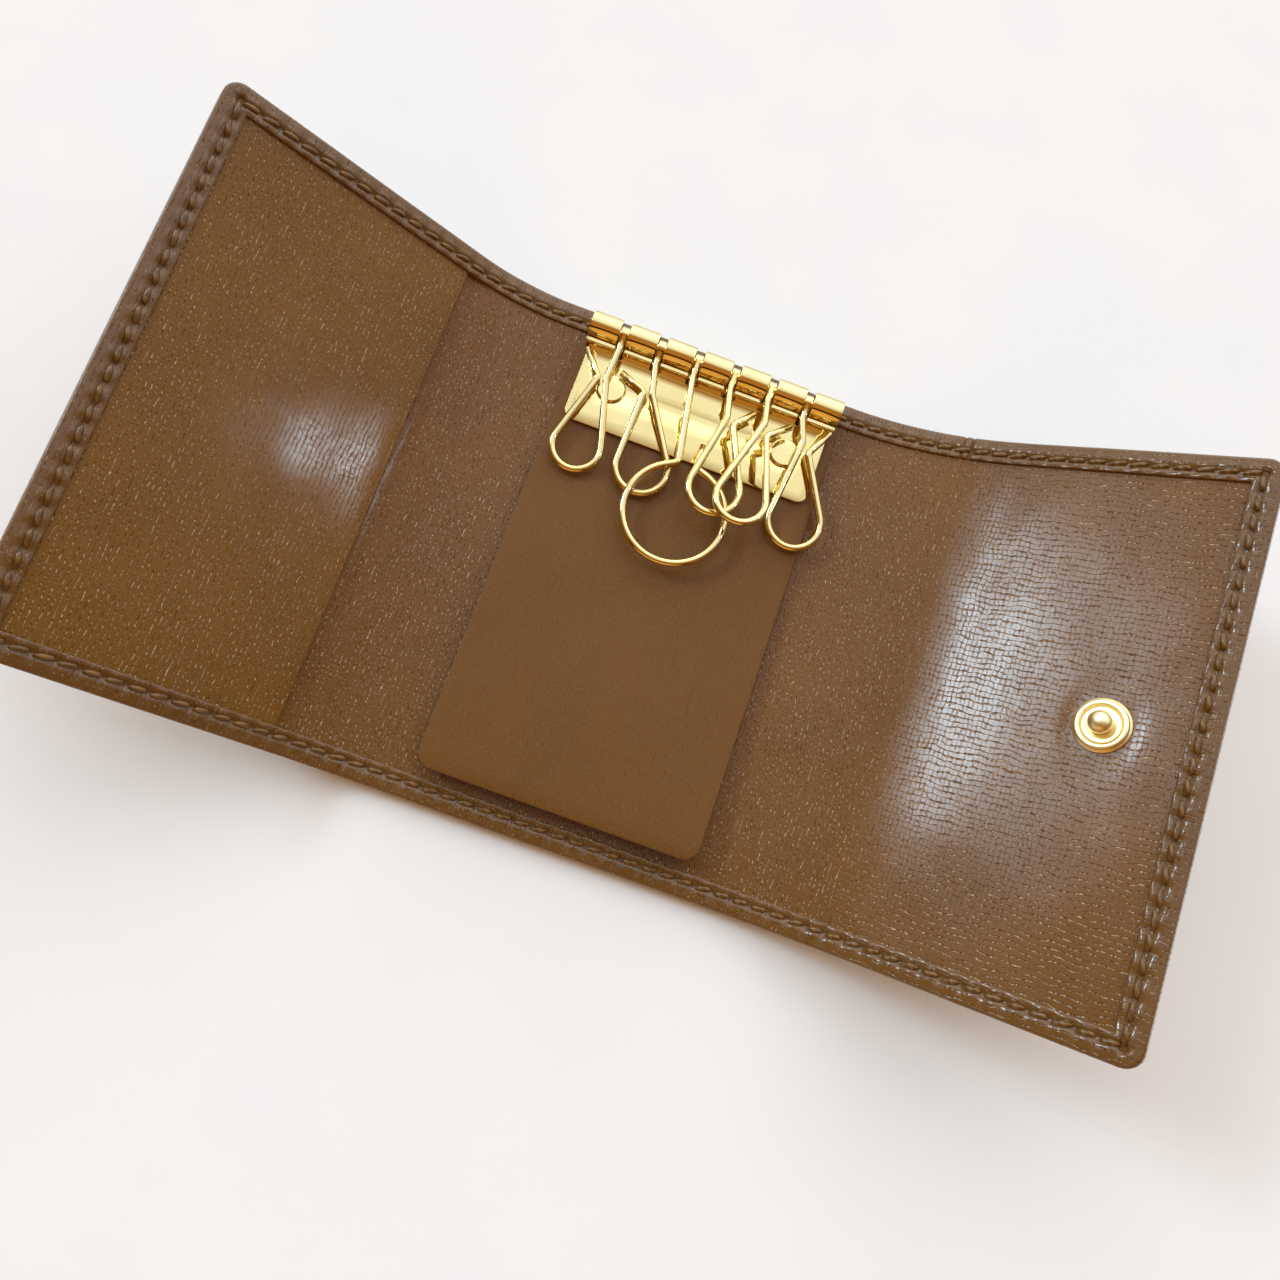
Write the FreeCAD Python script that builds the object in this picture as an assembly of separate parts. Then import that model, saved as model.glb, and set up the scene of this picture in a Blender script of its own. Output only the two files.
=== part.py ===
import FreeCAD, Part
import math
import os
from FreeCAD import Vector

# Key case, trifold, open as when a key is being picked: the centre panel lies flat and both wings are raised.
# X runs along the hook rail, Y along the folds toward the rail, Z out of the inner face.
# The origin is the middle of the centre panel's outer face. Lengths are in millimetres and angles in degrees.

# Panels and folds
case_height = 100.0
centre_width = 70.4
left_spine_width = 10.0
left_wing_width = 54.4
right_wing_width = 51.5
corner_radius = 3.0
fold_gap = 0.3
left_rest_angle = 17.0
right_rest_angle = 18.6

# Layers, from the outside in
cover_thickness = 1.0
board_thickness = 0.6
lining_thickness = 0.6
pocket_thickness = 0.5
pocket_gap = 0.1
hem_thickness = 0.9
hem_width = 4.6
edge_wall = 1.0
inlay_clearance = 0.05
pocket_setback = 6.0

# Tongue under the hooks
tongue_width = 53.0
tongue_thickness = 1.4
tongue_end_margin = 1.9
tongue_corner = 3.5
tongue_rest_angle = 2.0
tongue_lift_angle = 2.5

# Hook rail
plate_width = 49.2
plate_drop = 18.95
plate_thickness = 0.8
plate_corner = 2.0
hook_pitch = 7.5
hook_count = 6
knuckle_gap = 1.8
barrel_overhang = 0.8
barrel_radius = 2.6
barrel_inset = 4.05
barrel_clearance = 0.2
lip_reach = 0.9
lip_height = 1.3
lip_round = 0.4
cove_radius = 6.5
cove_rise = 0.8
pin_radius = 0.7
pin_clearance = 0.02
eye_radius = 1.5
eye_clearance = 0.05

# Key hooks
wire_radius = 0.7
hook_length = 28.55
hook_clearance = 0.15
knee_bend = 2.5
gate_bend = 1.3
ring_radius = 9.6
ring_drop = 30.35
ring_corners = 8

# Rivets of the hook plate
rivet_spacing = 35.4
rivet_drop = 10.55
rivet_head_radius = 2.85
rivet_head_height = 0.6
rivet_head_round = 0.4
rivet_shank_radius = 1.1
washer_radius = 2.4
washer_thickness = 0.4
rivet_clearance = 0.05

# Snap fastener
stud_edge_margin = 17.1
stud_radius = 4.7
stud_base_height = 1.2
stud_plate_height = 0.5
stud_groove_radius = 3.2
stud_rim_width = 0.4
stud_collar_radius = 2.5
stud_collar_height = 0.7
stud_height = 4.0
stud_neck_radius = 1.55
dome_radius = 1.95
socket_radius = 4.7
socket_height = 3.0
socket_floor = 0.5
socket_bore_radius = 2.15
socket_groove_radius = 2.75
socket_groove_height = 0.9
socket_rim_bevel = 0.5
spring_wire_radius = 0.3
spring_radius = 2.1
spring_gap_angle = 50.0
foot_radius = 3.6
foot_thickness = 0.4
snap_clearance = 0.6

overrun = 1.0

# Each hook as corner places: a share of the pitch across its eye, then of the hook length from the pin.
# The order is knee, two corners round the foot of the loop, gate, tip.
hook_shares = {
    1: ((-0.04, 0.34), (0.65, 1.0), (-0.95, 1.0), (-0.25, 0.35), (-0.75, 0.18)),
    2: ((0.19, 0.33), (1.75, 1.0), (-0.10, 1.0), (-0.03, 0.33), (-0.73, 0.26)),
    4: ((0.17, 0.33), (-0.32, 1.01), (1.43, 1.01), (0.37, 0.365), (0.80, 0.23)),
    5: ((0.11, 0.29), (-0.68, 1.05), (0.97, 1.05), (0.25, 0.38), (0.76, 0.245)),
    6: ((0.21, 0.285), (-0.09, 0.99), (1.79, 0.99), (0.43, 0.34), (0.79, 0.15)),
}
# The third hook: the ring's middle across its eye, its tip, and the ring's open angles by the shank and tip.
ring_middle_share = 0.73
ring_tip_shares = (0.85, 0.555)
ring_open_angles = (30.0, 17.0)
# How far above the pin each wire leaves its eye, as a share of the room there, and where stacked wires cross.
wire_rise_shares = {1: 0.68, 2: 0.40, 3: 0.90, 4: 0.94, 5: 0.94, 6: 0.68}
cross_shares = {3: 0.74, 4: 0.72, 5: 0.61}

# Worked-out levels and places
half_height = case_height / 2
half_centre = centre_width / 2
centre_thickness = cover_thickness + board_thickness + lining_thickness + hem_thickness
spine_thickness = cover_thickness + lining_thickness + hem_thickness
right_thickness = centre_thickness
left_thickness = cover_thickness + lining_thickness + pocket_gap + pocket_thickness + hem_thickness
fold_level = centre_thickness
lining_level = fold_level - hem_thickness
snap_room = socket_height + stud_base_height + snap_clearance
right_spine_width = left_spine_width + left_thickness + snap_room - hem_thickness
left_fold_x = -half_centre - left_spine_width
right_fold_x = half_centre + right_spine_width
left_edge_x = left_fold_x - left_wing_width
right_edge_x = right_fold_x + right_wing_width
stud_reach = right_wing_width - stud_edge_margin
stud_x = right_fold_x + stud_reach
socket_x = left_fold_x - (centre_width - stud_reach)

tongue_top = lining_level + tongue_thickness
plate_top = tongue_top + plate_thickness
axis_y = half_height - barrel_inset
axis_z = fold_level + barrel_clearance + barrel_radius
plate_low_y = axis_y - plate_drop
barrel_length = plate_width + 2 * barrel_overhang
rivet_y = axis_y - rivet_drop
tongue_end_y = -half_height + hem_width + tongue_end_margin
barrel_front_y = axis_y - barrel_radius
lip_front_y = barrel_front_y - lip_reach
tongue_top_y = barrel_front_y - inlay_clearance
wire_room = eye_radius - wire_radius
wire_diameter = 2 * wire_radius
slot_reach = axis_y - lip_front_y


def box(x0, x1, y0, y1, z0, z1):
    return Part.makeBox(x1 - x0, y1 - y0, z1 - z0, Vector(x0, y0, z0))


def disc(x, y, z0, z1, radius):
    return Part.makeCylinder(radius, z1 - z0, Vector(x, y, z0))


def ring(x, y, z0, z1, outer, inner):
    return disc(x, y, z0, z1, outer).cut(disc(x, y, z0 - overrun, z1 + overrun, inner))


# The edges of a solid whose middle lies at the given places along X, Y and Z.
def edges_at(solid, x=None, y=None, z=None):
    found = []
    for edge in solid.Edges:
        middle = edge.CenterOfMass
        pairs = ((middle.x, x), (middle.y, y), (middle.z, z))
        if all(place is None or abs(value - place) < inlay_clearance for value, place in pairs):
            found.append(edge)
    return found


# Rounds the upright corners of a flat box on the side where a place along X or Y is met.
def rounded_corners(solid, radius, x=None, y=None):
    middle_z = (solid.BoundBox.ZMin + solid.BoundBox.ZMax) / 2
    return solid.makeFillet(radius, edges_at(solid, x=x, y=y, z=middle_z))


# A flat sheet of a panel, set in from the case's edges. A free side keeps the case's rounded corners.
def sheet(x0, x1, inset, z0, z1, left_free=False, right_free=False, past=0):
    left = x0 + inset if left_free else x0 - past
    right = x1 - inset if right_free else x1 + past
    body = box(left, right, inset - half_height, half_height - inset, z0, z1)
    radius = corner_radius - inset
    if left_free and radius > 0:
        body = rounded_corners(body, radius, x=left)
    if right_free and radius > 0:
        body = rounded_corners(body, radius, x=right)
    return body


def save(name, shape):
    shape.exportStep("parts/" + name + ".step")


# A sheet of cover leather with its border turned over on the inside. A free edge also gets a border.
def cover(x0, x1, thickness, left_free=False, right_free=False):
    low = fold_level - thickness
    free = (left_free, right_free)
    body = sheet(x0, x1, 0, low, fold_level, *free)
    body = body.cut(sheet(x0, x1, edge_wall, low + cover_thickness, lining_level, *free, past=overrun))
    return body.cut(sheet(x0, x1, hem_width, lining_level, fold_level + overrun, *free, past=overrun))


# A flat layer inside a cover, stopped short of the turned edges.
def layer(x0, x1, z0, thickness, left_free=False, right_free=False):
    return sheet(x0, x1, edge_wall + inlay_clearance, z0, z0 + thickness, left_free, right_free)


# Turns a flat-built piece about a fold line that runs along Y.
def folded(shape, x, z, angle):
    turned = shape.copy()
    turned.rotate(Vector(x, 0, z), Vector(0, 1, 0), angle)
    return turned


def on_left_spine(shape):
    return folded(shape, -half_centre, fold_level, left_rest_angle)


def on_left_wing(shape):
    return on_left_spine(folded(shape, left_fold_x, fold_level, left_rest_angle))


def on_right_spine(shape):
    return folded(shape, half_centre, fold_level, -right_rest_angle)


def on_right_wing(shape):
    return on_right_spine(folded(shape, right_fold_x, fold_level, -right_rest_angle))


# A wire path through corner points, each inner corner rounded to its own radius.
def rounded_path(points, bends):
    edges = []
    start = points[0]
    for before, corner, after, bend in zip(points, points[1:], points[2:], bends):
        into = (corner - before).normalize()
        out = (after - corner).normalize()
        turn = into.getAngle(out)
        reach = bend * math.tan(turn / 2)
        first = corner - into * reach
        last = corner + out * reach
        inward = (out - into).normalize()
        middle = corner + inward * (bend / math.cos(turn / 2) - bend)
        if (first - start).Length > inlay_clearance:
            edges.append(Part.makeLine(start, first))
            start = first
        edges.append(Part.Arc(start, middle, last).toShape())
        start = last
    edges.append(Part.makeLine(start, points[-1]))
    return Part.Wire(edges)


# The bend that just fills the foot of a loop between its two corners.
def loop_bend(points):
    knee, first, second, gate = points[2:6]
    foot = second - first
    turn_in = (first - knee).getAngle(foot)
    turn_out = foot.getAngle(gate - second)
    return foot.Length / (math.tan(turn_in / 2) + math.tan(turn_out / 2))


# Every wire leaves its slot in the barrel square to the pin.
def slot_points(rise):
    return [Vector(0, 0, rise), Vector(0, -slot_reach, rise)]


def hook_points(number, rise):
    points = slot_points(rise)
    for across, along in hook_shares[number]:
        points.append(Vector(across * hook_pitch, -along * hook_length, rise))
    bend = loop_bend(points)
    return points, [knee_bend, knee_bend, bend, bend, gate_bend]


# The ring hook: a straight shank, a round ring on the corners of a polygon about it, and a turned-up tip.
def ring_points(rise):
    middle = Vector(ring_middle_share * hook_pitch, -ring_drop, rise)
    open_left, open_right = ring_open_angles
    step = (360 - open_left - open_right) / ring_corners
    corner_reach = ring_radius / math.cos(math.radians(step / 2))
    corners = []
    for count in range(ring_corners):
        angle = math.radians(open_left + step * (count + 0.5))
        corners.append(middle + Vector(-math.sin(angle), math.cos(angle), 0) * corner_reach)
    start_angle = math.radians(open_left)
    touch = middle + Vector(-math.sin(start_angle), math.cos(start_angle), 0) * ring_radius
    along = Vector(math.cos(start_angle), math.sin(start_angle), 0)
    shank_foot = touch + along * (gate_bend + wire_diameter)
    end_angle = math.radians(open_right)
    finish = middle + Vector(math.sin(end_angle), math.cos(end_angle), 0) * ring_radius
    end_corner = finish + Vector(-math.cos(end_angle), math.sin(end_angle), 0) * (gate_bend + wire_radius)
    across, down = ring_tip_shares
    tip = Vector(across * hook_pitch, -down * hook_length, rise)
    points = slot_points(rise) + [shank_foot] + corners + [end_corner, tip]
    return points, [knee_bend, gate_bend] + [ring_radius] * ring_corners + [gate_bend]


# A hook lying level with its eye about the X axis.
def level_hook(number):
    rise = wire_rise_shares[number] * wire_room
    points, bends = ring_points(rise) if number == 3 else hook_points(number, rise)
    path = rounded_path(points, bends)
    section = Part.Wire(Part.makeCircle(wire_radius, points[0], points[1] - points[0]))
    wire = path.makePipeShell([section], True, False)
    eye = Part.makeCylinder(eye_radius, wire_diameter, Vector(-wire_radius, 0, 0), Vector(1, 0, 0))
    bore_start = Vector(-hook_pitch, 0, 0)
    bore = Part.makeCylinder(pin_radius + eye_clearance, 2 * hook_pitch, bore_start, Vector(1, 0, 0))
    return eye.fuse(wire).cut(bore)


# How far each hook tips up at rest: the lowest lie just clear of the lifted tongue, the others on each other.
def rest_tilts():
    lift = math.radians(tongue_rest_angle + tongue_lift_angle)
    lifted_top = tongue_top + (hook_length - plate_drop) * math.tan(lift)
    lowest = lifted_top + wire_radius + hook_clearance
    tilts = {}
    for number in (1, 2, 6):
        rise = wire_rise_shares[number] * wire_room
        tilts[number] = math.asin((lowest - axis_z - rise) / hook_length)
    for number, below in ((3, 2), (4, 3), (5, 4)):
        along = cross_shares[number] * hook_length
        under = wire_rise_shares[below] * wire_room + along * math.sin(tilts[below])
        rise = wire_rise_shares[number] * wire_room
        tilts[number] = math.asin((under + wire_diameter + hook_clearance - rise) / along)
    return tilts


def eye_x(number):
    return (number - (hook_count + 1) / 2) * hook_pitch


def placed_hook(number, tilt):
    hook = level_hook(number)
    hook.rotate(Vector(0, 0, 0), Vector(1, 0, 0), -math.degrees(tilt))
    hook.translate(Vector(eye_x(number), axis_y, axis_z))
    return hook


# The plate that carries the hooks: a flat leaf, a hollow cove up to the lip, the barrel behind it, and slots
# between the knuckles.
def hook_plate():
    half_plate = plate_width / 2
    half_barrel = barrel_length / 2
    leaf = box(-half_plate, half_plate, plate_low_y, axis_y, tongue_top, plate_top)
    leaf = rounded_corners(leaf, plate_corner, y=plate_low_y)
    cove_run = math.sqrt(cove_radius ** 2 - (cove_radius - cove_rise) ** 2)
    cove_foot_y = lip_front_y - cove_run
    cove = box(-half_plate, half_plate, cove_foot_y, axis_y, tongue_top, plate_top + cove_rise)
    hollow_start = Vector(-half_plate - overrun, cove_foot_y, plate_top + cove_radius)
    cove = cove.cut(Part.makeCylinder(cove_radius, plate_width + 2 * overrun, hollow_start, Vector(1, 0, 0)))
    lip_top = plate_top + lip_height
    lip = box(-half_barrel, half_barrel, lip_front_y, axis_y, tongue_top, lip_top)
    lip = lip.makeFillet(lip_round, edges_at(lip, y=lip_front_y, z=lip_top))
    barrel_start = Vector(-half_barrel, axis_y, axis_z)
    barrel = Part.makeCylinder(barrel_radius, barrel_length, barrel_start, Vector(1, 0, 0))
    body = leaf.fuse(cove).fuse(lip).fuse(barrel)
    bore_start = Vector(-half_barrel - overrun, axis_y, axis_z)
    body = body.cut(Part.makeCylinder(
        pin_radius + pin_clearance, barrel_length + 2 * overrun, bore_start, Vector(1, 0, 0)))
    top = axis_z + barrel_radius + overrun
    for number in range(1, hook_count + 1):
        x0 = eye_x(number) - knuckle_gap / 2
        x1 = eye_x(number) + knuckle_gap / 2
        body = body.cut(box(x0, x1, lip_front_y - overrun, half_height + overrun, plate_top, top))
        body = body.cut(box(x0, x1, barrel_front_y, half_height + overrun, 0, top))
    for x in rivet_places():
        body = body.cut(disc(x, rivet_y, 0, top, rivet_shank_radius + rivet_clearance))
    return body.removeSplitter()


def rivet_places():
    return (-rivet_spacing / 2, rivet_spacing / 2)


# A flat head with a rounded rim, on a shank that ends level with the cover leather.
def plate_rivet(x):
    head_top = plate_top + rivet_head_height
    head = disc(x, rivet_y, plate_top, head_top, rivet_head_radius)
    head = head.makeFillet(rivet_head_round, edges_at(head, z=head_top))
    return head.fuse(disc(x, rivet_y, cover_thickness, plate_top, rivet_shank_radius))


def drilled(body, radius):
    for x in rivet_places():
        body = body.cut(disc(x, rivet_y, -overrun, plate_top, radius))
    return body


# The tongue is one strip: its root is clamped under the plate and its flap bends up below the plate.
def tongue_root():
    half_tongue = tongue_width / 2
    strip = box(-half_tongue, half_tongue, plate_low_y, tongue_top_y, lining_level, tongue_top)
    return drilled(strip, rivet_shank_radius + rivet_clearance)


def tongue_flap():
    half_tongue = tongue_width / 2
    strip = box(-half_tongue, half_tongue, tongue_end_y, plate_low_y - fold_gap, lining_level, tongue_top)
    flap = rounded_corners(strip, tongue_corner, y=tongue_end_y)
    flap.rotate(Vector(0, plate_low_y, tongue_top), Vector(1, 0, 0), -tongue_rest_angle)
    return flap


# Snap stud on the right wing: a ringed base on the lining and a riveted post with a domed tip.
def snap_stud():
    level = lining_level
    base = disc(stud_x, 0, level, level + stud_plate_height, stud_radius)
    rim_inner = stud_radius - stud_rim_width
    rim = ring(stud_x, 0, level, level + stud_base_height, rim_inner, stud_groove_radius)
    collar = disc(stud_x, 0, level, level + stud_collar_height, stud_collar_radius)
    bore = disc(stud_x, 0, 0, fold_level + stud_height, stud_neck_radius + rivet_clearance)
    return base.fuse(rim).fuse(collar).cut(bore).removeSplitter()


def stud_post():
    foot_low = fold_level - right_thickness + cover_thickness
    dome_z = lining_level + stud_height - dome_radius
    foot = disc(stud_x, 0, foot_low, foot_low + foot_thickness, foot_radius)
    neck = disc(stud_x, 0, foot_low, dome_z, stud_neck_radius)
    dome = Part.makeSphere(dome_radius, Vector(stud_x, 0, dome_z))
    return foot.fuse(neck).fuse(dome).removeSplitter()


# Snap socket on the outside of the left wing, its mouth facing away from the leather.
def socket_levels():
    seat = fold_level - left_thickness
    return seat, seat - socket_floor, seat - socket_height


def snap_socket():
    seat, floor, mouth = socket_levels()
    body = disc(socket_x, 0, mouth, seat, socket_radius)
    body = body.makeFillet(socket_rim_bevel, edges_at(body, z=mouth))
    body = body.cut(disc(socket_x, 0, mouth - overrun, floor, socket_bore_radius))
    body = body.cut(disc(socket_x, 0, floor - socket_groove_height, floor, socket_groove_radius))
    return body.cut(disc(socket_x, 0, floor - overrun, seat + overrun, stud_neck_radius + rivet_clearance))


# A split wire ring in the socket's groove that grips the neck of the stud.
def socket_spring():
    seat, floor, mouth = socket_levels()
    middle = Vector(socket_x, 0, floor - socket_groove_height / 2)
    turn = 360 - spring_gap_angle
    return Part.makeTorus(spring_radius, spring_wire_radius, middle, Vector(0, 0, 1), -180, 180, turn)


def socket_rivet():
    seat, floor, mouth = socket_levels()
    foot_low = seat + cover_thickness
    foot = disc(socket_x, 0, foot_low, foot_low + foot_thickness, foot_radius)
    return foot.fuse(disc(socket_x, 0, floor, foot_low, stud_neck_radius)).removeSplitter()


os.makedirs("parts", exist_ok=True)
half_gap = fold_gap / 2

# Centre panel
centre_x0 = half_gap - half_centre
centre_x1 = half_centre - half_gap
save("centre_cover", cover(centre_x0, centre_x1, centre_thickness))
board = layer(centre_x0, centre_x1, cover_thickness, board_thickness)
save("centre_board", drilled(board, washer_radius + rivet_clearance))
lining = layer(centre_x0, centre_x1, lining_level - lining_thickness, lining_thickness)
save("centre_lining", drilled(lining, rivet_shank_radius + rivet_clearance))
save("tongue_root", tongue_root())
save("tongue_flap", tongue_flap())

# Hook rail
save("hook_plate", hook_plate())
pin_start = Vector(-barrel_length / 2, axis_y, axis_z)
save("hinge_pin", Part.makeCylinder(pin_radius, barrel_length, pin_start, Vector(1, 0, 0)))
save("plate_rivets", Part.makeCompound([plate_rivet(x) for x in rivet_places()]))
washers = []
washer_top = cover_thickness + washer_thickness
washer_bore = rivet_shank_radius + rivet_clearance
for x in rivet_places():
    washers.append(ring(x, rivet_y, cover_thickness, washer_top, washer_radius, washer_bore))
save("rivet_washers", Part.makeCompound(washers))
for number, tilt in rest_tilts().items():
    save("key_hook_" + str(number), placed_hook(number, tilt))

# Left spine and wing
left_x0 = left_fold_x + half_gap
left_x1 = -half_centre - half_gap
save("left_spine_cover", on_left_spine(cover(left_x0, left_x1, spine_thickness)))
lining = layer(left_x0, left_x1, lining_level - lining_thickness, lining_thickness)
save("left_spine_lining", on_left_spine(lining))
wing_x1 = left_fold_x - half_gap
wing_low = fold_level - left_thickness
wing = cover(left_edge_x, wing_x1, left_thickness, left_free=True)
rivet_hole = disc(socket_x, 0, wing_low - overrun, fold_level, stud_neck_radius + rivet_clearance)
save("left_cover", on_left_wing(wing.cut(rivet_hole)))
lining = layer(left_edge_x, wing_x1, wing_low + cover_thickness, lining_thickness, left_free=True)
foot_hole = disc(socket_x, 0, wing_low - overrun, fold_level, foot_radius + rivet_clearance)
save("left_lining", on_left_wing(lining.cut(foot_hole)))
pocket_x1 = left_fold_x - pocket_setback
pocket_low = lining_level - pocket_thickness
pocket = layer(left_edge_x, pocket_x1, pocket_low, pocket_thickness, left_free=True)
save("pocket_panel", on_left_wing(pocket))
save("snap_socket", on_left_wing(snap_socket()))
save("socket_spring", on_left_wing(socket_spring()))
save("socket_rivet", on_left_wing(socket_rivet()))

# Right spine and wing
right_x0 = half_centre + half_gap
right_x1 = right_fold_x - half_gap
save("right_spine_cover", on_right_spine(cover(right_x0, right_x1, spine_thickness)))
lining = layer(right_x0, right_x1, lining_level - lining_thickness, lining_thickness)
save("right_spine_lining", on_right_spine(lining))
wing_x0 = right_fold_x + half_gap
save("right_cover", on_right_wing(cover(wing_x0, right_edge_x, right_thickness, right_free=True)))
board_low = fold_level - right_thickness + cover_thickness
board = layer(wing_x0, right_edge_x, board_low, board_thickness, right_free=True)
foot_hole = disc(stud_x, 0, 0, fold_level, foot_radius + rivet_clearance)
save("right_board", on_right_wing(board.cut(foot_hole)))
lining = layer(wing_x0, right_edge_x, lining_level - lining_thickness, lining_thickness, right_free=True)
neck_hole = disc(stud_x, 0, 0, fold_level, stud_neck_radius + rivet_clearance)
save("right_lining", on_right_wing(lining.cut(neck_hole)))
save("snap_stud", on_right_wing(snap_stud()))
save("stud_post", on_right_wing(stud_post()))
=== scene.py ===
import math
import random

import bmesh
import bpy
from mathutils import Matrix, Vector, noise


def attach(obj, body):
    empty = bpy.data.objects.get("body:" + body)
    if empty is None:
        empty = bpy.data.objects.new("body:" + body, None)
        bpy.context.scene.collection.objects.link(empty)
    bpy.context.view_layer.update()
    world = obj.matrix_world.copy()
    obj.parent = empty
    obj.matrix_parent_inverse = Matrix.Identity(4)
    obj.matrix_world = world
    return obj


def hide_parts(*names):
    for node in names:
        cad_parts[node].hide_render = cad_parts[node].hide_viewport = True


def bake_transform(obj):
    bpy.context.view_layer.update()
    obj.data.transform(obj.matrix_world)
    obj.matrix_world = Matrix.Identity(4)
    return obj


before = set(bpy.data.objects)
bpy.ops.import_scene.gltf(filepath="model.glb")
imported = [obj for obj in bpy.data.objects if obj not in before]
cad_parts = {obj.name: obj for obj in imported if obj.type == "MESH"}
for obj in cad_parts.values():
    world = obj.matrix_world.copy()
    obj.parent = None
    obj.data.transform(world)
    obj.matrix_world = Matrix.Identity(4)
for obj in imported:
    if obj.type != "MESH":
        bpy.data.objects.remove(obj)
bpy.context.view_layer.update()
mm = 0.001
random.seed(7)

# the case laid out flat, in mm: x across the folds, y along them, z up from the outer face
case = {
    "leftEdge": -99.6, "rightEdge": 103.7, "halfHeight": 50.0, "corner": 3.0, "cornerSteps": 7,
    "foldLevel": 3.1, "top": 2.9, "band": 4.6, "liningTop": 2.35, "edgeRound": 0.55,
    "leftSplit": -40.2, "rightSplit": 43.7, "studX": 86.6, "upperLevel": 2.0, "blendLevel": 1.5,
}
xAxis = (1, 0, 0)
yAxis = (0, 1, 0)
# how near, in mm, a cut meets a corner, two corners are joined, and the ends of an edge are level
near = {"cut": 1e-5, "join": 1e-4, "level": 0.01}
# an edge that turns by more than this, in radians, is sharp
sharpTurn = 1.2

# each fold bends the leather from one place to another about its line; the nearer the line is to the first
# place, the longer the bend runs out. The fold nearer the edge stands first, because it turns first.
folds = {
    "leftWing": {"x": -45.2, "from": -40.3, "to": -50.1, "angle": 17.0, "reach": 4.9,
                 "bodies": ("left_spine", "left_wing")},
    "leftSpine": {"x": -35.2, "from": -30.3, "to": -40.1, "angle": 17.0, "reach": 4.9,
                  "bodies": ("centre", "left_spine")},
    "rightWing": {"x": 52.2, "from": 43.5, "to": 63.0, "angle": -18.6, "reach": 6.0,
                  "bodies": ("right_spine", "right_wing")},
    "rightSpine": {"x": 35.2, "from": 27.0, "to": 43.4, "angle": -18.6, "reach": 6.0,
                   "bodies": ("centre", "right_spine")},
}

# cover, lining and stitching are made in four lengths, each of which bends over one fold
lengths = [
    {"name": "left", "low": case["leftEdge"], "high": case["leftSplit"],
     "fold": folds["leftWing"], "panels": ("left",)},
    {"name": "centre_left", "low": case["leftSplit"], "high": 0.0,
     "fold": folds["leftSpine"], "panels": ("centre", "left_spine")},
    {"name": "centre_right", "low": 0.0, "high": case["rightSplit"],
     "fold": folds["rightSpine"], "panels": ("right_spine",)},
    {"name": "right", "low": case["rightSplit"], "high": case["rightEdge"],
     "fold": folds["rightWing"], "panels": ("right",)},
]


def smoothStep(share):
    share = min(max(share, 0.0), 1.0)
    return share * share * (3 - 2 * share)


def turnedShare(fold, share):
    # how much of its angle the leather has turned at a share of the way along the bend
    return 1 - (1 - share) ** ((fold["to"] - fold["x"]) / (fold["x"] - fold["from"]))


def bendPath(fold, steps=160):
    # places along the bent leather at fold level, drawn so that the last meets the turned wing
    full = math.radians(fold["angle"])
    length = fold["to"] - fold["from"]
    pivot = Vector((fold["x"], 0, case["foldLevel"]))
    path = [Vector((fold["from"], 0, case["foldLevel"]))]
    for index in range(steps):
        turn = full * turnedShare(fold, (index + 0.5) / steps)
        path.append(path[-1] + length / steps * Vector((math.cos(turn), 0, -math.sin(turn))))
    gap = Matrix.Rotation(full, 3, "Y") @ Vector((fold["to"] - fold["x"], 0, 0)) + pivot - path[-1]
    return [place + gap * index / steps for index, place in enumerate(path)]


for fold in folds.values():
    fold["path"] = bendPath(fold)
    print("bend at", fold["x"], "runs", round(abs(fold["to"] - fold["from"]), 1), "mm")


def foldedPoint(flatPoint):
    # takes a place on the flat case to its place on the folded one, both in mm
    point = Vector(flatPoint)
    for fold in folds.values():
        share = (flatPoint[0] - fold["from"]) / (fold["to"] - fold["from"])
        full = math.radians(fold["angle"])
        if share >= 1:
            pivot = Vector((fold["x"], 0, case["foldLevel"]))
            point = Matrix.Rotation(full, 3, "Y") @ (point - pivot) + pivot
        elif share > 0:
            step, rest = divmod(share * (len(fold["path"]) - 1), 1)
            place = fold["path"][int(step)].lerp(fold["path"][int(step) + 1], rest)
            turn = Matrix.Rotation(full * turnedShare(fold, share), 3, "Y")
            point = turn @ Vector((0, point.y, point.z - case["foldLevel"])) + place
    return point


def foldUp(bm):
    # keeps the flat place as UV, carried on over the edges, so the grain follows the leather; then folds the
    # mesh and turns it to metres
    flat = bm.loops.layers.uv.new("flat")
    bmesh.ops.recalc_face_normals(bm, faces=bm.faces)
    for face in bm.faces:
        for loop in face.loops:
            loop[flat].uv = (loop.vert.co.xy + face.normal.xy * (case["top"] - loop.vert.co.z)) * mm
    for vert in bm.verts:
        vert.co = foldedPoint(vert.co) * mm


def bendPiece(piece):
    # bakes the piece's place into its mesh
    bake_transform(piece)


def newPiece(name, bm, materials, smooth=40):
    # smooth is the angle, in degrees, above which an edge is drawn sharp
    bmesh.ops.recalc_face_normals(bm, faces=bm.faces)
    mesh = bpy.data.meshes.new(name)
    bm.to_mesh(mesh)
    bm.free()
    piece = bpy.data.objects.new(name, mesh)
    bpy.context.scene.collection.objects.link(piece)
    for material in materials:
        mesh.materials.append(material)
    mesh.shade_smooth()
    mesh.set_sharp_from_angle(angle=math.radians(smooth))
    return piece


def cutAt(bm, place, normal, faces=None, clear=None):
    geom = bm.verts[:] + bm.edges[:] + bm.faces[:]
    if faces is not None:
        verts = {vert for face in faces for vert in face.verts}
        edges = {edge for face in faces for edge in face.edges}
        geom = list(verts) + list(edges) + faces
    bmesh.ops.bisect_plane(bm, geom=geom, plane_co=place, plane_no=normal, dist=near["cut"],
                           clear_outer=clear == "outer", clear_inner=clear == "inner")


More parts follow.
